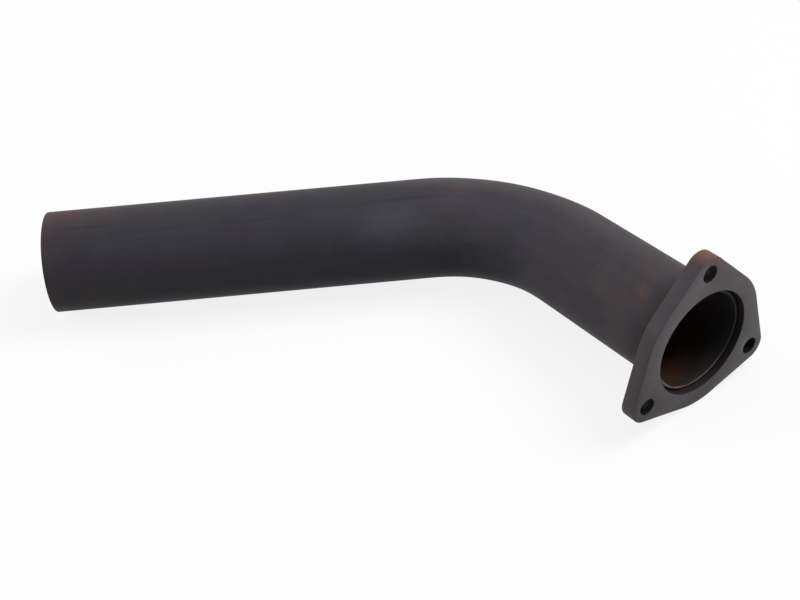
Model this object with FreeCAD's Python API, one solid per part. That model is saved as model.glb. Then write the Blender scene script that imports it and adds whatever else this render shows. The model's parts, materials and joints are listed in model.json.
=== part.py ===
import FreeCAD, Part
import math
import os

from FreeCAD import Placement, Rotation, Vector

# A short exhaust pipe: a round steel tube with one bend, and a flange with
# three bolt ears slipped over one end and welded on from behind.
# Millimetres. The long straight of the tube runs along X, with its open end
# at -X and the flange at +X. +Z is up, and the pipe lies on z = 0.

# Tube
tube_radius = 31.75        # outside, a 63.5 mm tube
tube_wall = 1.65
long_straight = 235.8      # open end to bend
bend_radius = 103.0        # centre line of the bend
bend_angle = 58.0          # degrees
bend_flattening = 0.044    # share of its width that the middle of the bend loses
bend_fade = 1 / 3          # share of the bend over which it sets in and ends
bend_sections = 13
short_straight = 105.3     # bend to the flange's front face
end_setback = 3.8          # tube's end behind the flange's front face

# Flange
flange_thickness = 9.525
mouth_clearance = 1.25     # between the tube and the flange's bore
hub_radius = 43.9          # round rim between the ears
ear_count = 3
ear_radius = 10.4          # round end of an ear, about its bolt hole
bolt_circle_radius = 47.625
bolt_hole_radius = 5.2
rim_round = 0.6            # rounding of the rim's two edges

# Weld bead in the corner behind the flange
weld_leg = 4.0             # along the tube and out over the flange's back
weld_bulge = 0.45          # bead's rise above a straight bevel
weld_root = 1.2            # depth that the bead fills of the clearance

mouth_radius = tube_radius + mouth_clearance
flange_back = short_straight - flange_thickness
bend = math.radians(bend_angle)


def bend_end():
    """Where the bend ends and the short straight begins, its axis along local X."""
    place = Vector(long_straight + bend_radius * math.sin(bend),
                   -bend_radius * (1 - math.cos(bend)), 0)
    return Placement(place, Rotation(Vector(0, 0, 1), -bend_angle))


def tube_section():
    """Ring of the tube's wall, square to X at the origin."""
    rings = [Part.Wire(Part.makeCircle(radius, Vector(0, 0, 0), Vector(1, 0, 0)))
             for radius in (tube_radius, tube_radius - tube_wall)]
    return Part.makeFace(rings, "Part::FaceMakerBullseye")


def bend_core(radius):
    """Solid bend whose round section is narrowed in the bend's plane towards its middle."""
    start = Vector(long_straight, 0, 0)
    sections = []
    for step in range(bend_sections):
        share = step / (bend_sections - 1)
        ramp = min(share, 1 - share, bend_fade) / bend_fade
        narrowing = tube_radius * bend_flattening * ramp ** 2 * (3 - 2 * ramp)
        upright = start + Vector(0, 0, radius)
        inward = start + Vector(0, radius - narrowing, 0)
        section = Part.Wire(Part.Ellipse(upright, inward, start).toShape())
        section.rotate(Vector(long_straight, -bend_radius, 0), Vector(0, 0, 1), -bend_angle * share)
        sections.append(section)
    return Part.makeLoft(sections, True)


def bent_tube():
    """Long straight, bend and short straight, with one wall throughout."""
    section = tube_section()
    long_run = section.extrude(Vector(long_straight, 0, 0))
    curved_run = bend_core(tube_radius).cut(bend_core(tube_radius - tube_wall))
    short_run = section.extrude(Vector(short_straight - end_setback, 0, 0))
    short_run.Placement = bend_end()
    return long_run.fuse([curved_run, short_run]).removeSplitter()


def across(x, radius, angle):
    """Point on a circle about the local X axis, its angle counted from straight up."""
    return Vector(x, radius * math.sin(angle), radius * math.cos(angle))


def flange_outline(x):
    """Rim of the flange: round hub and ears, joined by the lines that touch both."""
    pitch = 2 * math.pi / ear_count
    touch = math.acos((hub_radius - ear_radius) / bolt_circle_radius)
    edges = []
    for ear in range(ear_count):
        middle = ear * pitch
        centre = across(0, bolt_circle_radius, middle)
        tip = [across(x, ear_radius, middle + turn) + centre for turn in (-touch, 0, touch)]
        hub = [across(x, hub_radius, middle + turn) for turn in (touch, pitch / 2, pitch - touch)]
        next_centre = across(0, bolt_circle_radius, middle + pitch)
        next_tip = across(x, ear_radius, middle + pitch - touch) + next_centre
        edges.append(Part.Arc(*tip).toShape())
        edges.append(Part.makeLine(tip[2], hub[0]))
        edges.append(Part.Arc(*hub).toShape())
        edges.append(Part.makeLine(hub[2], next_tip))
    return Part.Wire(edges)


def flange():
    """Flat plate with a rounded rim, a bore for the tube and a hole in each ear."""
    plate = Part.Face(flange_outline(flange_back)).extrude(Vector(flange_thickness, 0, 0))
    flat_edges = [edge for edge in plate.Edges if edge.BoundBox.XLength < rim_round / 10]
    plate = plate.makeFillet(rim_round, flat_edges)
    through = Vector(1, 0, 0)
    holes = [Part.makeCylinder(mouth_radius, flange_thickness, Vector(flange_back, 0, 0), through)]
    for ear in range(ear_count):
        centre = across(flange_back, bolt_circle_radius, ear * 2 * math.pi / ear_count)
        holes.append(Part.makeCylinder(bolt_hole_radius, flange_thickness, centre, through))
    plate = plate.cut(holes)
    plate.Placement = bend_end()
    return plate


def outer_weld():
    """Bead turned about the tube, with its root in the clearance behind the tube's end."""
    on_tube = Vector(flange_back - weld_leg, 0, tube_radius)
    on_flange = Vector(flange_back, 0, tube_radius + weld_leg)
    outward = Vector(-1, 0, 1).normalize()
    crown = (on_tube + on_flange) / 2 + outward * weld_bulge
    corner = Vector(flange_back, 0, mouth_radius)
    root = Vector(flange_back + weld_root, 0, mouth_radius)
    root_on_tube = Vector(flange_back + weld_root, 0, tube_radius)
    edges = [Part.Arc(on_tube, crown, on_flange).toShape()]
    points = [on_flange, corner, root, root_on_tube, on_tube]
    for start, end in zip(points, points[1:]):
        edges.append(Part.makeLine(start, end))
    profile = Part.Face(Part.Wire(edges))
    bead = profile.revolve(Vector(0, 0, 0), Vector(1, 0, 0), 360)
    bead.Placement = bend_end()
    return bead


def roll_to_rest():
    """Degrees of roll about the long straight that lower the flange's rim to the floor.

    The long straight lies along the floor. The rim's rounded back edge touches
    at its lowest point, between the two lower ears.
    """
    reach = bend_radius * (1 - math.cos(bend)) + (flange_back + rim_round) * math.sin(bend)
    tube = tube_radius - rim_round
    rim = hub_radius - rim_round
    square = reach ** 2 + (rim * math.sin(bend)) ** 2
    root = math.sqrt((tube * reach) ** 2 + square * (rim ** 2 - tube ** 2))
    return math.degrees(math.asin((root - tube * reach) / square))


def laid_down(pieces):
    """The pieces as they lie on z = 0, centred over the origin."""
    lying = Placement(Vector(0, 0, tube_radius), Rotation(Vector(1, 0, 0), -roll_to_rest()))
    for piece in pieces.values():
        piece.Placement = lying.multiply(piece.Placement)
    box = Part.makeCompound(list(pieces.values())).optimalBoundingBox(False)
    for piece in pieces.values():
        piece.translate(Vector(-box.Center.x, -box.Center.y, 0))
    return pieces


os.makedirs("parts", exist_ok=True)
pipe = laid_down({"bent_tube": bent_tube(), "flange": flange(), "outer_weld": outer_weld()})
for name, piece in pipe.items():
    piece.exportStep("parts/" + name + ".step")
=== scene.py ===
import json
from math import acos, asin, atan2, cos, exp, pi, radians, sin
from random import Random

import bmesh
import bpy
from mathutils import Matrix, Vector


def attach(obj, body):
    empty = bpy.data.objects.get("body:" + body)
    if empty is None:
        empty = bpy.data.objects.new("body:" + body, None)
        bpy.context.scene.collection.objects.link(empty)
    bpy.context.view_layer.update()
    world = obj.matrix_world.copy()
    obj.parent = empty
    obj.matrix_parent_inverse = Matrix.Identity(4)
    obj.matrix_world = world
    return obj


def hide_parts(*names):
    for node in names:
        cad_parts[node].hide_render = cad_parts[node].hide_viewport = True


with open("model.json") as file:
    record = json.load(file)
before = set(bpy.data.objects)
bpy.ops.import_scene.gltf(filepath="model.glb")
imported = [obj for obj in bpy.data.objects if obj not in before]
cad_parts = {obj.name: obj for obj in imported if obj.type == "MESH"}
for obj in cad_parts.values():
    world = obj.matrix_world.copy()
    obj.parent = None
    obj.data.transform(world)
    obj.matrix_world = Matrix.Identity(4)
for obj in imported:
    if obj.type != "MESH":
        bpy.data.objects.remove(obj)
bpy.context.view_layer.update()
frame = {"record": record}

# Bent tube. One length of round steel tube, pulled round a former and left open
# at both ends. Heat has blackened its skin, which is satin and drawn out along
# its length, with rust bleeding through near the flange and inside the bore.
mounts = {mount["name"]: mount for mount in frame["record"]["mounts"]}
tube_radius = mounts["open_end"]["dims"]["r_mm"] / 1000
bore_radius = mounts["open_end_bore"]["dims"]["r_mm"] / 1000
long_straight = mounts["open_end"]["dims"]["length_mm"] / 1000
short_straight = mounts["flange_end_bore"]["dims"]["length_mm"] / 1000
long_way = -Vector(mounts["open_end"]["axis"])
short_way = Vector(mounts["flange_end_bore"]["axis"])
open_centre = Vector(mounts["open_end"]["pos_m"]) - long_way * long_straight / 2
bend_start = open_centre + long_way * long_straight
bend_end = Vector(mounts["flange_end_bore"]["pos_m"]) - short_way * short_straight / 2
bend_angle = long_way.angle(short_way)
bend_normal = long_way.cross(short_way).normalized()
bend_radius = (bend_end - bend_start).length / 2 / sin(bend_angle / 2)
bend_centre = bend_start + bend_normal.cross(long_way) * bend_radius
bend_length = bend_radius * bend_angle
bend_flattening = 0.044  # share of its width that the middle of the bend loses
bend_fade = 1 / 3        # share of the bend over which that sets in and ends
end_round = 0.00025      # rounding of the two sawn ends
tube_segments = 144
long_steps, bend_steps, short_steps = 24, 40, 10
outside, inside, sawn_end = range(3)  # places of the tube's finishes in its list
square_corner = radians(60)  # faces that meet more sharply make an edge to round
smooth_corner = radians(40)  # faces that meet less sharply are shaded as one
merge_within = 0.00001       # points nearer to each other become one


def only_verts(geometry):
    """The vertices among what a bmesh operator made."""
    return [item for item in geometry if isinstance(item, bmesh.types.BMVert)]


def only_edges(geometry):
    """The edges among what a bmesh operator made."""
    return [item for item in geometry if isinstance(item, bmesh.types.BMEdge)]


def square_edges(shape):
    """The edges where two faces of a shape meet squarely."""
    return [edge for edge in shape.edges if edge.calc_face_angle(0) > square_corner]


def round_edges(shape, edges, size, segments):
    """Rounds some edges of a shape."""
    bmesh.ops.bevel(shape, geom=edges, offset=size, segments=segments, profile=0.5,
                    affect="EDGES", material=-1)


def steel_piece(name, shape, replaced, materials):
    """Makes a smooth-shaded piece of a shape, in place of one of the part's solids."""
    bmesh.ops.recalc_face_normals(shape, faces=shape.faces)
    mesh = bpy.data.meshes.new(name)
    shape.to_mesh(mesh)
    shape.free()
    mesh.shade_smooth()
    mesh.set_sharp_from_angle(angle=smooth_corner)
    for material in materials:
        mesh.materials.append(material)
    piece = bpy.data.objects.new(name, mesh)
    bpy.context.scene.collection.objects.link(piece)
    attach(piece, "root")
    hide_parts(replaced)


def steel(name):
    """A new steel finish, to be coloured by nodes."""
    material = bpy.data.materials.new(name)
    material.use_nodes = True
    return material


def node(owner, kind, inputs, output=0, **settings):
    """Adds a node and gives one of its outputs. Its inputs take values or other outputs."""
    added = owner.node_tree.nodes.new("ShaderNode" + kind)
    for name, value in settings.items():
        setattr(added, name, value)
    for name, value in inputs.items():
        if isinstance(value, bpy.types.NodeSocket):
            owner.node_tree.links.new(value, added.inputs[name])
        else:
            added.inputs[name].default_value = value
    return added.outputs[output]


def noise(material, place, scale, detail, roughness=0.5):
    """Cloudy pattern about one half, with its scale along each axis in clouds per metre."""
    scaled = node(material, "Mapping", {"Vector": place, "Scale": scale})
    return node(material, "TexNoise", {"Vector": scaled, "Scale": 1, "Detail": detail,
                                       "Roughness": roughness})


def fade(material, value, start, end, low=0, high=1):
    """Runs softly from one level to another while a value goes from start to end."""
    return node(material, "MapRange", {"Value": value, "From Min": start, "From Max": end,
                                       "To Min": low, "To Max": high},
                interpolation_type="SMOOTHSTEP")


def blend(material, share, under, over):
    """Lays one colour over another."""
    under, over = (colour if isinstance(colour, bpy.types.NodeSocket) else (*colour, 1)
                   for colour in (under, over))
    return node(material, "Mix", {0: share, 6: under, 7: over}, 2, data_type="RGBA")


def darken(material, share, colour):
    """Takes a share of its light from a colour."""
    return blend(material, share, colour, (0, 0, 0))


def soft_patch(material, place, centre, size, strength, edge=0.25):
    """Soft-edged patch about a point, with its half sizes along each axis."""
    from_centre = node(material, "Mapping", {"Vector": place, "Location": centre, "Scale": size},
                       vector_type="TEXTURE")
    distance = node(material, "VectorMath", {0: from_centre}, "Value", operation="LENGTH")
    return fade(material, distance, 1, edge, 0, strength)


def on_wall(distance, radius, degrees):
    """Place on the unbent tube's wall, with its angle counted from the top."""
    return distance, radius * sin(radians(degrees)), radius * cos(radians(degrees))


def finish(material, colour, gloss, roughness, relief, depth):
    """Gives a steel finish its colour, gloss, roughness and relief."""
    shader = material.node_tree.nodes["Principled BSDF"]
    shader.inputs["Specular IOR Level"].default_value = gloss
    normal = node(material, "Bump", {"Height": relief, "Distance": depth, "Strength": 1})
    for socket, source in (("Base Color", colour), ("Roughness", roughness), ("Normal", normal)):
        material.node_tree.links.new(source, shader.inputs[socket])


# Both walls grow from the open end. Each vertex keeps its place on the unbent
# tube: the distance from the open end, then the place across it.
tube_shape = bmesh.new()
unbent = tube_shape.verts.layers.float_vector.new("unbent")
facing = long_way.to_track_quat("Z", "Y").to_matrix().to_4x4()
open_walls = []
for radius in (tube_radius, bore_radius):
    ring = bmesh.ops.create_circle(tube_shape, segments=tube_segments, radius=radius,
                                   matrix=Matrix.Translation(open_centre) @ facing)["verts"]
    open_walls += {edge for vert in ring for edge in vert.link_edges}
for vert in tube_shape.verts:
    vert[unbent] = vert.co - open_centre

about_bend = Matrix.Translation(bend_centre)
bend_turn = about_bend @ Matrix.Rotation(bend_angle / bend_steps, 4, bend_normal) @ about_bend.inverted()
walls = open_walls
for way, length, steps in ((long_way, long_straight, long_steps), (None, bend_length, bend_steps),
                           (short_way, short_straight, short_steps)):
    step = length / steps
    move = Matrix.Translation(way * step) if way else bend_turn
    for _ in range(steps):
        grown = bmesh.ops.extrude_edge_only(tube_shape, edges=walls)["geom"]
        walls = only_edges(grown)
        bmesh.ops.transform(tube_shape, matrix=move, verts=only_verts(grown))
        for vert in only_verts(grown):
            vert[unbent].x += step
middle_radius = (tube_radius + bore_radius) / 2
for face in tube_shape.faces:
    face.material_index = outside if face.verts[0][unbent].yz.length > middle_radius else inside

# The bend is a little narrower from its inner to its outer side.
for vert in tube_shape.verts:
    bend_share = (vert[unbent].x - long_straight) / bend_length
    set_in = max(min(bend_share, 1 - bend_share, bend_fade), 0) / bend_fade
    narrowing = tube_radius * bend_flattening * set_in ** 2 * (3 - 2 * set_in)
    from_bend = vert.co - bend_centre
    from_bend -= bend_normal * from_bend.dot(bend_normal)
    side = (from_bend.length - bend_radius) / vert[unbent].yz.length
    vert.co -= from_bend.normalized() * side * narrowing

for end_walls, centre in ((open_walls, open_centre), (walls, bend_end + short_way * short_straight)):
    outer = [edge for edge in end_walls if (edge.verts[0].co - centre).length > middle_radius]
    sawn = bmesh.ops.extrude_edge_only(tube_shape, edges=outer)["geom"]
    bmesh.ops.scale(tube_shape, vec=Vector((1, 1, 1)) * bore_radius / tube_radius,
                    space=Matrix.Translation(-centre), verts=only_verts(sawn))
    for face in {face for edge in only_edges(sawn) for face in edge.link_faces}:
        face.material_index = sawn_end
bmesh.ops.remove_doubles(tube_shape, verts=tube_shape.verts, dist=merge_within)
bmesh.ops.recalc_face_normals(tube_shape, faces=tube_shape.faces)
round_edges(tube_shape, square_edges(tube_shape), end_round, 2)

# Painted light and shade: the skin is lighter on the top and back, darker and bluer down its front side.
# It is browner past the bend.
# Places along the tube are counted in metres from its open end.
tube_skin = steel("tube_skin_blackened")
skin_place = node(tube_skin, "Attribute", {}, "Vector", attribute_name="unbent")
along, back, up = (node(tube_skin, "SeparateXYZ", {"Vector": skin_place}, way) for way in "XYZ")
ragged_by = 0.014
wander = node(tube_skin, "TexNoise", {"Vector": skin_place, "Scale": 140, "Detail": 4}, "Color")
wander = node(tube_skin, "VectorMath", {0: wander, 1: (0.5, 0.5, 0.5)}, operation="SUBTRACT")
ragged_place = node(tube_skin, "VectorMath", {0: wander, 1: (ragged_by,) * 3, 2: skin_place},
                    operation="MULTIPLY_ADD")
clouds = fade(tube_skin, noise(tube_skin, ragged_place, (14, 42, 42), detail=3), 0.40, 0.60)
mottling = noise(tube_skin, skin_place, (48, 70, 70), detail=4, roughness=0.55)
mottling = fade(tube_skin, mottling, 0.36, 0.64)
drawn_lines = noise(tube_skin, skin_place, (9, 330, 330), detail=4, roughness=0.6)
skin_grain = noise(tube_skin, skin_place, (1500, 1500, 1500), detail=3, roughness=0.6)
# Painted light on the top and back, painted shade down the front side, each mottled by clouds.
painted_light_top_skin = blend(tube_skin, clouds, (0.0528, 0.0505, 0.0570), (0.0585, 0.0500, 0.0572))
painted_shade_front_skin = blend(tube_skin, clouds, (0.0444, 0.0448, 0.0556), (0.0477, 0.0440, 0.0552))
leg_skin = blend(tube_skin, mottling, (0.0575, 0.0515, 0.0578), (0.0650, 0.0530, 0.0588))
open_end_tint = (0.0558, 0.0477, 0.0477)
# Painted shade in the corner behind the flange, browned by the weld's heat as well.
weld_shade_and_heat_tint = (0.0340, 0.0262, 0.0292)
on_shaded_front = fade(tube_skin, back, 0.35 * tube_radius, -0.8 * tube_radius)
on_leg = fade(tube_skin, along, 0.30, 0.42)
at_open_end = fade(tube_skin, along, 0.014, 0, high=0.8)
at_weld = fade(tube_skin, along, 0.412, 0.434, high=0.8)
# Painted shade: darkens the tube's underside by up to a quarter.
painted_shade_underneath = fade(tube_skin, up, 0.25 * tube_radius, -0.4 * tube_radius, high=0.25)
skin = blend(tube_skin, on_shaded_front, painted_light_top_skin, painted_shade_front_skin)
skin = blend(tube_skin, on_leg, skin, leg_skin)
skin = blend(tube_skin, at_open_end, skin, open_end_tint)
# Painted shade and heat browning next to the weld.
skin = blend(tube_skin, at_weld, skin, weld_shade_and_heat_tint)
# Rust and stains on the skin, with painted highlights down the front side and painted sheen along the
# top near the bend.
skin_stains_and_sheen = (
    # along, degrees from the top, half length, half width, strength, colour
    # Painted highlight: a lighter, bluer patch down the front side.
    (0.255, -35, 0.105, 0.028, 0.95, (0.0618, 0.0575, 0.0695)),
    (0.004, 18, 0.055, 0.020, 0.85, (0.0780, 0.0505, 0.0515)),
    (0.006, -22, 0.030, 0.018, 0.60, (0.0620, 0.0459, 0.0539)),
    (0.020, -108, 0.090, 0.020, 0.80, (0.0521, 0.0465, 0.0484)),
    (0.145, -6, 0.008, 0.010, 0.30, (0.0694, 0.0490, 0.0570)),
    (0.200, 12, 0.006, 0.009, 0.30, (0.0719, 0.0508, 0.0570)),
    (0.258, -2, 0.010, 0.012, 0.50, (0.0794, 0.0546, 0.0620)),
    (0.290, 8, 0.008, 0.010, 0.30, (0.0694, 0.0496, 0.0570)),
    # Painted sheen: a pale streak along the top.
    (0.260, 14, 0.038, 0.011, 0.60, (0.0900, 0.0820, 0.0870)),
    (0.150, -7, 0.050, 0.010, 0.50, (0.0496, 0.0446, 0.0595)),
    # Painted highlight: a long lighter, bluer band down the front side.
    (0.125, -43, 0.160, 0.015, 0.50, (0.0546, 0.0521, 0.0626)),
    # Painted highlight: a lighter, bluer patch down the front side.
    (0.262, -54, 0.050, 0.015, 0.65, (0.0632, 0.0595, 0.0688)),
    # Painted sheen: a pale streak along the top of the bend.
    (0.315, 15, 0.120, 0.011, 0.60, (0.0790, 0.0700, 0.0750)),
    (0.389, -48, 0.009, 0.008, 0.42, (0.0790, 0.0590, 0.0500)),
    (0.4130, -29, 0.0080, 0.0125, 0.38, (0.0850, 0.0570, 0.0520)),
    (0.4125, -28, 0.0045, 0.0070, 0.55, (0.0960, 0.0600, 0.0500)),
)
# Thin drawn marks, with one painted highlight patch down the front side.
drawn_marks_and_sheen = (
    # along, degrees from the top, half length, half width, strength, colour
    # Painted highlight: a lighter, bluer patch down the front side.
    (0.213, -43, 0.030, 0.0185, 0.60, (0.0818, 0.0818, 0.1054)),
    (0.028, -13, 0.024, 0.0016, 0.45, (0.0298, 0.0186, 0.0205)),
    (0.070, -24, 0.040, 0.0025, 0.30, (0.0372, 0.0360, 0.0496)),
    (0.120, -17, 0.055, 0.0022, 0.45, (0.0521, 0.0372, 0.0508)),
    (0.135, -23, 0.045, 0.0018, 0.40, (0.0372, 0.0335, 0.0409)),
    (0.225, -12, 0.050, 0.0020, 0.45, (0.0347, 0.0310, 0.0360)),
    (0.205, -5, 0.040, 0.0016, 0.35, (0.0546, 0.0409, 0.0521)),
)
for marks, place, edge in ((skin_stains_and_sheen, ragged_place, 0.25), (drawn_marks_and_sheen, skin_place, 0)):
    for distance, degrees, half_length, half_width, strength, colour in marks:
        patch = soft_patch(tube_skin, place, on_wall(distance, tube_radius, degrees),
                      (half_length, half_width, half_width), strength, edge)
        skin = blend(tube_skin, patch, skin, colour)
shades = node(tube_skin, "Math", {0: drawn_lines, 1: skin_grain}, operation="ADD")
# Painted shade on the underside.
skin = darken(tube_skin, painted_shade_underneath, skin)
skin = darken(tube_skin, fade(tube_skin, mottling, 0, 1, low=0.07, high=0), skin)
skin = darken(tube_skin, fade(tube_skin, shades, 0.80, 1.20, low=0.09, high=0), skin)
skin_roughness = fade(tube_skin, drawn_lines, 0.35, 0.65, low=0.47, high=0.56)
finish(tube_skin, skin, gloss=0.045, roughness=skin_roughness, relief=shades, depth=0.00004)

# The bore is sooty, blacker towards the flange, and rust flakes off it low down.
bore_skin = steel("bore_skin_rusty")
bore_place = node(bore_skin, "Attribute", {}, "Vector", attribute_name="unbent")
bore_along = node(bore_skin, "SeparateXYZ", {"Vector": bore_place}, "X")
soot = fade(bore_skin, noise(bore_skin, bore_place, (30, 60, 60), detail=4), 0.4, 0.62)
flakes = noise(bore_skin, bore_place, (110, 110, 110), detail=5, roughness=0.65)
flaking = fade(bore_skin, flakes, 0.46, 0.62)
lip_lining = blend(bore_skin, soot, (0.0100, 0.0097, 0.0100), (0.0180, 0.0160, 0.0155))
deep_lining = blend(bore_skin, soot, (0.0420, 0.0300, 0.0290), (0.0500, 0.0340, 0.0330))
lining = blend(bore_skin, fade(bore_skin, bore_along, 0.436, 0.412), lip_lining, deep_lining)
bore_rust = (
    # along, degrees from the top, half length, half width, strength, colour, its flakes' colour
    (0.436, 172, 0.016, 0.026, 0.65, (0.0300, 0.0250, 0.0240), (0.0400, 0.0280, 0.0250)),
    (0.411, 160, 0.020, 0.026, 0.90, (0.1150, 0.0560, 0.0490), (0.1350, 0.0590, 0.0500)),
    (0.426, 198, 0.013, 0.022, 0.90, (0.0500, 0.0240, 0.0170), (0.1000, 0.0350, 0.0170)),
    (0.430, 222, 0.012, 0.016, 0.60, (0.0500, 0.0260, 0.0200), (0.0800, 0.0340, 0.0220)),
    (0.010, 170, 0.060, 0.040, 0.85, (0.0480, 0.0230, 0.0165), (0.0950, 0.0330, 0.0160)),
)
for distance, degrees, half_length, half_width, strength, colour, flake_colour in bore_rust:
    patch = soft_patch(bore_skin, bore_place, on_wall(distance, bore_radius, degrees),
                  (half_length, half_width, half_width), strength)
    lining = blend(bore_skin, patch, lining, colour)
    flaked = node(bore_skin, "Math", {0: patch, 1: flaking}, operation="MULTIPLY")
    lining = blend(bore_skin, flaked, lining, flake_colour)
bore_roughness = fade(bore_skin, flakes, 0.35, 0.65, low=0.7, high=0.9)
finish(bore_skin, lining, gloss=0.1, roughness=bore_roughness, relief=flakes, depth=0.0002)

# The sawn ends are bare, pinkish metal, mottled where rubbed. Painted shade dims all but their lowest
# part and leaves them nearly black at the top.
cut_end = steel("tube_end_cut")
cut_place = node(cut_end, "Attribute", {}, "Vector", attribute_name="unbent")
saw_marks = noise(cut_end, cut_place, (50, 1400, 300), detail=3)
rubbing = noise(cut_end, cut_place, (120, 120, 120), detail=3)
brightest = node(cut_end, "VectorMath", {0: cut_place, 1: on_wall(0, 1, 195)}, "Value",
                 operation="DOT_PRODUCT")
end_face = blend(cut_end, fade(cut_end, rubbing, 0.4, 0.6), (0.240, 0.178, 0.162), (0.160, 0.115, 0.106))
# Painted shade, stronger towards the top of each end.
for start, end, end_shade_colour in ((0.90, 0.40, (0.0370, 0.0325, 0.0330)),
                                (-0.2, -0.8, (0.0150, 0.0145, 0.0160))):
    painted_end_shade = fade(cut_end, brightest, start * tube_radius, end * tube_radius)
    end_face = blend(cut_end, painted_end_shade, end_face, end_shade_colour)
cut_roughness = fade(cut_end, rubbing, 0.4, 0.6, low=0.4, high=0.6)
finish(cut_end, end_face, gloss=0.12, roughness=cut_roughness, relief=saw_marks, depth=0.00003)
steel_piece("bent_tube_skin", tube_shape, "bent_tube", [tube_skin, bore_skin, cut_end])

# Flange. A steel plate cut to a round hub with three bolt ears, its rim lightly
# rounded, slipped over the tube's end. Its face is ground flat, its rim is as
# it was cut, and rust has started on the uppermost ear.
bolts = mounts["flange_bolts"]
bolt_circle_radius = bolts["dims"]["pcd_mm"] / 2000
bolt_hole_radius = bolts["dims"]["hole_r_mm"] / 1000
ear_count = bolts["dims"]["count"]
plate_middle = Vector(bolts["pos_m"])
half_thickness = (Vector(mounts["flange_face"]["pos_m"]) - plate_middle).dot(short_way)
thickness = 2 * half_thickness
hub_radius = 0.0439
ear_radius = 0.0104
mouth_radius = 0.033
rim_round = 0.0006
hole_round = 0.00025
arc_steps = 20
hole_segments = 40
skim = 0.0001  # depth to which a finish reaches round an edge

ear_way = bend_normal if bend_normal.z > 0 else -bend_normal
flange_turn = Matrix((ear_way, short_way.cross(ear_way), short_way)).transposed().to_4x4()
flange_seat = Matrix.Translation(plate_middle - short_way * half_thickness) @ flange_turn


def around(radius, angle):
    """Point on a circle about the flange's own axis, its angle counted from the upright ear."""
    return Vector((radius * cos(angle), radius * sin(angle), 0))


flange_shape = bmesh.new()
pitch = 2 * pi / ear_count
touch = acos((hub_radius - ear_radius) / bolt_circle_radius)
arcs = []
for ear in range(ear_count):
    middle = ear * pitch
    ear_centre = around(bolt_circle_radius, middle)
    for start, centre, sweep in (
        (ear_centre + around(ear_radius, middle - touch), ear_centre, 2 * touch),
        (around(hub_radius, middle + touch), Vector(), pitch - 2 * touch),
    ):
        first = flange_shape.verts.new(start)
        swung = bmesh.ops.spin(flange_shape, geom=[first], cent=centre, axis=(0, 0, 1),
                               angle=sweep, steps=arc_steps)
        arcs.append((first, only_verts(swung["geom_last"])[0]))
for (_, last), (first, _) in zip(arcs, arcs[1:] + arcs[:1]):
    flange_shape.edges.new((last, first))
bolt_holes = [around(bolt_circle_radius, ear * pitch) for ear in range(ear_count)]
holes = [(Vector(), mouth_radius, tube_segments)]
holes += [(centre, bolt_hole_radius, hole_segments) for centre in bolt_holes]
for centre, radius, segments in holes:
    bmesh.ops.create_circle(flange_shape, segments=segments, radius=radius,
                            matrix=Matrix.Translation(centre))
bmesh.ops.triangle_fill(flange_shape, use_beauty=True, edges=flange_shape.edges)
plate = bmesh.ops.extrude_face_region(flange_shape, geom=flange_shape.faces, use_keep_orig=True)
bmesh.ops.translate(flange_shape, verts=only_verts(plate["geom"]), vec=(0, 0, thickness))
bmesh.ops.recalc_face_normals(flange_shape, faces=flange_shape.faces)
corners = square_edges(flange_shape)
hole_edges = [
    edge for edge in corners
    if any((edge.verts[0].co.xy - centre.xy).length < radius + skim for centre, radius, _ in holes)
]
rim_edges = [edge for edge in corners if edge not in hole_edges]
round_edges(flange_shape, rim_edges, rim_round, 3)
round_edges(flange_shape, [edge for edge in hole_edges if edge.is_valid], hole_round, 2)
bmesh.ops.transform(flange_shape, matrix=flange_seat, verts=flange_shape.verts)

flange_steel = steel("flange_steel_scaled")
object_place = node(flange_steel, "TexCoord", {}, "Object")
plate_place = node(flange_steel, "Mapping",
                   {"Vector": object_place, "Location": flange_seat.translation,
                    "Rotation": flange_turn.to_euler()}, vector_type="TEXTURE")
from_back = node(flange_steel, "SeparateXYZ", {"Vector": plate_place}, "Z")
in_plane = node(flange_steel, "VectorMath", {0: plate_place, 1: (1, 1, 0)}, operation="MULTIPLY")
from_axis = node(flange_steel, "VectorMath", {0: in_plane}, "Value", operation="LENGTH")
scale_clouds = fade(flange_steel, noise(flange_steel, plate_place, (60, 60, 60), detail=4), 0.40, 0.60)
scale_grain = noise(flange_steel, plate_place, (1300, 1300, 1300), detail=3, roughness=0.6)
on_face = fade(flange_steel, from_back, thickness - 5 * skim, thickness - skim)
in_mouth = fade(flange_steel, from_axis, mouth_radius + 3 * skim, mouth_radius + skim)
rim_colour = blend(flange_steel, scale_clouds, (0.0602, 0.0522, 0.0583), (0.0649, 0.0538, 0.0594))
face_colour = blend(flange_steel, scale_clouds, (0.1359, 0.1220, 0.1316), (0.1477, 0.1311, 0.1423))
# Painted shade: the bolt holes' walls are near black.
hole_shade_colour = (0.0112, 0.0102, 0.0114)
face_stains = (
    # up the ear, to the left, half size, strength, colour
    (-0.030, 0.052, 0.070, 1.0, (0.0874, 0.0790, 0.0863)),
    (-0.040, -0.010, 0.055, 0.85, (0.0945, 0.0872, 0.0945)),
    (0.050, -0.006, 0.015, 0.70, (0.1701, 0.1470, 0.1533)),
)
for ear_up, left, half_size, strength, colour in face_stains:
    patch = soft_patch(flange_steel, in_plane, (ear_up, left, 0), (half_size,) * 3, strength, edge=0)
    face_colour = blend(flange_steel, patch, face_colour, colour)
plate_colour = blend(flange_steel, on_face, rim_colour, face_colour)
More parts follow.
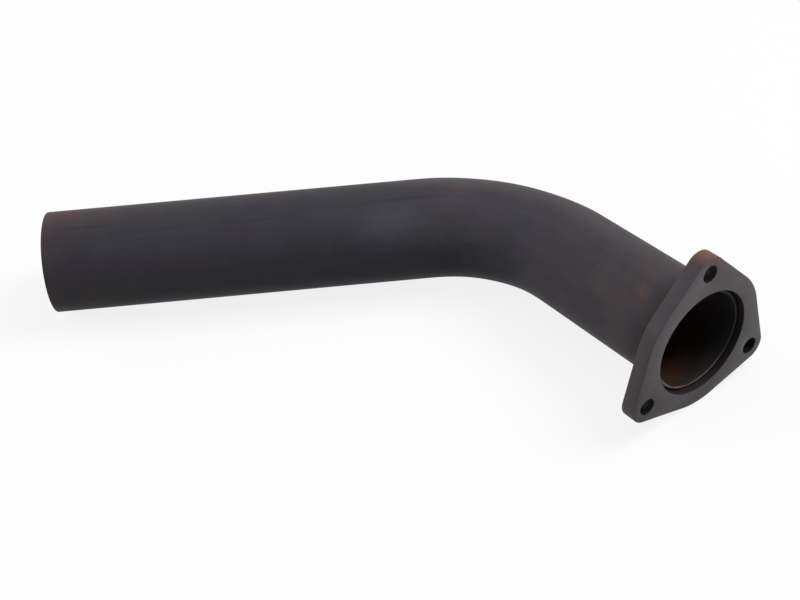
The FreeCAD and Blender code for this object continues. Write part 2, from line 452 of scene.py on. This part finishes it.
# Painted shade in the flange's mouth, near black, with a real rust tint low down.
mouth_rust = soft_patch(flange_steel, in_plane, (-mouth_radius, 0.013, 0), (0.031,) * 3,
                   strength=1, edge=0.2)
mouth_shade_colour = blend(flange_steel, mouth_rust, (0.0165, 0.0153, 0.0172), (0.0270, 0.0160, 0.0165))
plate_colour = blend(flange_steel, in_mouth, plate_colour, mouth_shade_colour)
hole_wall = bolt_hole_radius + 2 * skim
# Painted shade inside each bolt hole.
for centre in bolt_holes:
    in_hole = soft_patch(flange_steel, in_plane, centre, (hole_wall, hole_wall, 1), strength=1, edge=0.965)
    plate_colour = blend(flange_steel, in_hole, plate_colour, hole_shade_colour)
rust_marks = (
    # up the ear, to the left, through the plate, half size, strength, colour
    (0.0600, -0.003, 0.0040, 0.0130, 0.75, (0.1680, 0.0930, 0.0680)),
    (0.0540, -0.009, 0.0095, 0.0100, 0.45, (0.1780, 0.1260, 0.1090)),
    (0.0430, -0.024, 0.0090, 0.0100, 0.30, (0.1500, 0.1200, 0.1130)),
)
for ear_up, left, through, half_size, strength, colour in rust_marks:
    patch = soft_patch(flange_steel, plate_place, (ear_up, left, through), (half_size,) * 3, strength)
    plate_colour = blend(flange_steel, patch, plate_colour, colour)
pitting = fade(flange_steel, scale_grain, 0.35, 0.65, low=0.08, high=0)
plate_colour = darken(flange_steel, pitting, plate_colour)
plate_roughness = fade(flange_steel, scale_clouds, 0, 1, low=0.45, high=0.6)
finish(flange_steel, plate_colour, gloss=0.11, roughness=plate_roughness, relief=scale_grain,
       depth=0.00004)
steel_piece("flange_plate", flange_shape, "flange", [flange_steel])

# Weld. One bead run right round the tube in the corner behind the flange, laid
# down as overlapping ripples that lag at its edges. Its start and its end
# overlap in one slightly thicker place low on the tube.
weld_leg = 0.004
weld_bulge = 0.00045
weld_root = 0.0012
ripple_pitch = 0.0027
ripple_height = 0.00022
ripple_steps = 7
ripple_lag = radians(2.4)
ripple_skew = 0.6  # below 1, a ripple is steep where it starts
ripple_range = (0.65, 1.35)
overlap_angle = radians(200)
overlap_height = 0.0003
overlap_spread = radians(9)
face_steps = 10

weld_shape = bmesh.new()
crown = weld_shape.verts.layers.float.new("crown")
toe = Vector((tube_radius, 0, -weld_leg))
heel = Vector((tube_radius + weld_leg, 0, 0))
bead_out = Vector((1, 0, -1)).normalized()
half_chord = (heel - toe).length / 2
bead_radius = (half_chord ** 2 + weld_bulge ** 2) / (2 * weld_bulge)
bead_middle = (toe + heel) / 2 + bead_out * (weld_bulge - bead_radius)
start = weld_shape.verts.new(toe)
arc = bmesh.ops.spin(weld_shape, geom=[start], cent=bead_middle, axis=(0, -1, 0),
                     angle=2 * asin(half_chord / bead_radius), steps=face_steps)
for vert in weld_shape.verts:
    vert[crown] = 1 - ((vert.co - (toe + heel) / 2).dot(heel - toe) / 2 / half_chord ** 2) ** 2
    bmesh.ops.rotate(weld_shape, verts=[vert], matrix=Matrix.Rotation(ripple_lag * vert[crown], 3, "Z"))
last = only_verts(arc["geom_last"])[0]
for point in ((mouth_radius, 0, 0), (mouth_radius, 0, weld_root), (tube_radius, 0, weld_root)):
    corner = weld_shape.verts.new(point)
    weld_shape.edges.new((last, corner))
    last = corner
weld_shape.edges.new((last, start))
ripple_count = round(2 * pi * (tube_radius + weld_leg / 2) / ripple_pitch)
bmesh.ops.spin(weld_shape, geom=weld_shape.verts[:] + weld_shape.edges[:], cent=(0, 0, 0),
               axis=(0, 0, 1), angle=2 * pi, steps=ripple_count * ripple_steps, use_merge=True)
uneven = Random(11)
ripple_sizes = [uneven.uniform(*ripple_range) for _ in range(ripple_count)]
for vert in weld_shape.verts:
    angle = (atan2(vert.co.y, vert.co.x) - ripple_lag * vert[crown]) % (2 * pi)
    ripple, phase = divmod(angle / (2 * pi) * ripple_count, 1)
    rise = ripple_height * ripple_sizes[int(ripple) % ripple_count] * sin(pi * phase ** ripple_skew)
    rise += overlap_height * exp(-((angle - overlap_angle) / overlap_spread) ** 2)
    outward = Vector((vert.co.x, vert.co.y, 0)).normalized() - Vector((0, 0, 1))
    vert.co += outward.normalized() * rise * vert[crown]
bmesh.ops.transform(weld_shape, matrix=flange_seat, verts=weld_shape.verts)

weld_metal = steel("weld_metal_dark")
weld_place = node(weld_metal, "TexCoord", {}, "Object")
heat_tint = noise(weld_metal, weld_place, (90, 90, 90), detail=3)
rust_specks = noise(weld_metal, weld_place, (900, 900, 900), detail=3, roughness=0.6)
blued, browned, rusted = (0.036, 0.034, 0.042), (0.055, 0.040, 0.034), (0.110, 0.055, 0.030)
bead_colour = blend(weld_metal, fade(weld_metal, heat_tint, 0.4, 0.6), blued, browned)
specked = fade(weld_metal, rust_specks, 0.6, 0.7, high=0.6)
bead_colour = blend(weld_metal, specked, bead_colour, rusted)
bead_roughness = fade(weld_metal, heat_tint, 0.4, 0.6, low=0.4, high=0.55)
finish(weld_metal, bead_colour, gloss=0.2, roughness=bead_roughness, relief=rust_specks,
       depth=0.00005)
steel_piece("weld_bead", weld_shape, "outer_weld", [weld_metal])

# Floor. A wide sheet of white paper under the pipe, in a white studio. What the
# camera or a reflection sees of them is nearly white, with the pipe's soft shadow.
floor_radius = 6
paper_white = (0.9, 0.9, 0.9, 1)
pure_white = (1, 1, 1, 1)

floor_shape = bmesh.new()
bmesh.ops.create_circle(floor_shape, cap_ends=True, segments=64, radius=floor_radius)
floor_mesh = bpy.data.meshes.new("floor")
floor_shape.to_mesh(floor_mesh)
floor_shape.free()
floor = bpy.data.objects.new("floor", floor_mesh)
bpy.context.scene.collection.objects.link(floor)


def seen(owner):
    """One for the rays of the camera, of reflections and of transmission, else none."""
    camera_ray = node(owner, "LightPath", {}, "Is Camera Ray")
    rays = camera_ray.node.outputs
    straight = node(owner, "Math", {0: camera_ray, 1: rays["Is Glossy Ray"]}, operation="MAXIMUM")
    return node(owner, "Math", {0: straight, 1: rays["Is Transmission Ray"]}, operation="MAXIMUM")


floor_paper = bpy.data.materials.new("floor_paper_white")
floor_paper.use_nodes = True
paper = floor_paper.node_tree.nodes["Principled BSDF"]
paper.inputs["Base Color"].default_value = paper_white
paper.inputs["Roughness"].default_value = 1
paper.inputs["Specular IOR Level"].default_value = 0
paper_glow = node(floor_paper, "Emission", {"Color": pure_white, "Strength": 1})
floor_place = node(floor_paper, "TexCoord", {}, "Object")
from_middle = node(floor_paper, "VectorMath", {0: floor_place}, "Value", operation="LENGTH")
whiteness = fade(floor_paper, from_middle, 0.3, 1.6, low=0.85, high=1)
glow_share = node(floor_paper, "Math", {0: seen(floor_paper), 1: whiteness}, operation="MULTIPLY")
paper_seen = node(floor_paper, "MixShader", {0: glow_share, 1: paper.outputs[0], 2: paper_glow})
floor_paper.node_tree.links.new(paper_seen, floor_paper.node_tree.nodes["Material Output"].inputs[0])
floor_mesh.materials.append(floor_paper)

studio = bpy.data.worlds.new("studio")
studio.use_nodes = True
studio_light = studio.node_tree.nodes["Background"]
studio_light.inputs["Color"].default_value = pure_white
studio.node_tree.links.new(seen(studio), studio_light.inputs["Strength"])
bpy.context.scene.world = studio

# Lamps. Four square softboxes, one straight above the pipe and the others to its
# left, behind it on the left, and high on its right, where the light is strongest.
softboxes = (
    # name, place, aim, size, power in watts
    ("top_softbox", (0, 0, 1.5), (0, 0, 0), 1.4, 5.3),
    ("left_softbox", (-1.4, 0, 0.6), (0, 0, 0.04), 0.9, 11.8),
    ("left_back_softbox", (-1.1, 1.1, 0.8), (0, 0, 0.04), 0.9, 6.5),
    ("top_right_softbox", (0.9, 0.2, 1.2), (0, 0, 0), 0.9, 17.4),
)
for name, place, aim, size, power in softboxes:
    light = bpy.data.lights.new(name, "AREA")
    light.shape = "SQUARE"
    light.size = size
    light.energy = power
    lamp = bpy.data.objects.new(name, light)
    lamp.location = place
    lamp.rotation_euler = (Vector(aim) - Vector(place)).to_track_quat("-Z", "Y").to_euler()
    bpy.context.scene.collection.objects.link(lamp)

# Camera. It stands before the long straight and looks down on the pipe from
# about 43 degrees above the floor, as in the photograph.
camera_data = bpy.data.cameras.new("camera")
camera_data.lens = 58.279
camera = bpy.data.objects.new("camera", camera_data)
camera.location = (-0.01664, -0.57009, 0.55811)
camera.rotation_euler = (radians(47.350), radians(2.871), radians(-4.668))
bpy.context.scene.collection.objects.link(camera)
bpy.context.scene.camera = camera
bpy.context.scene.view_settings.view_transform = "Standard"
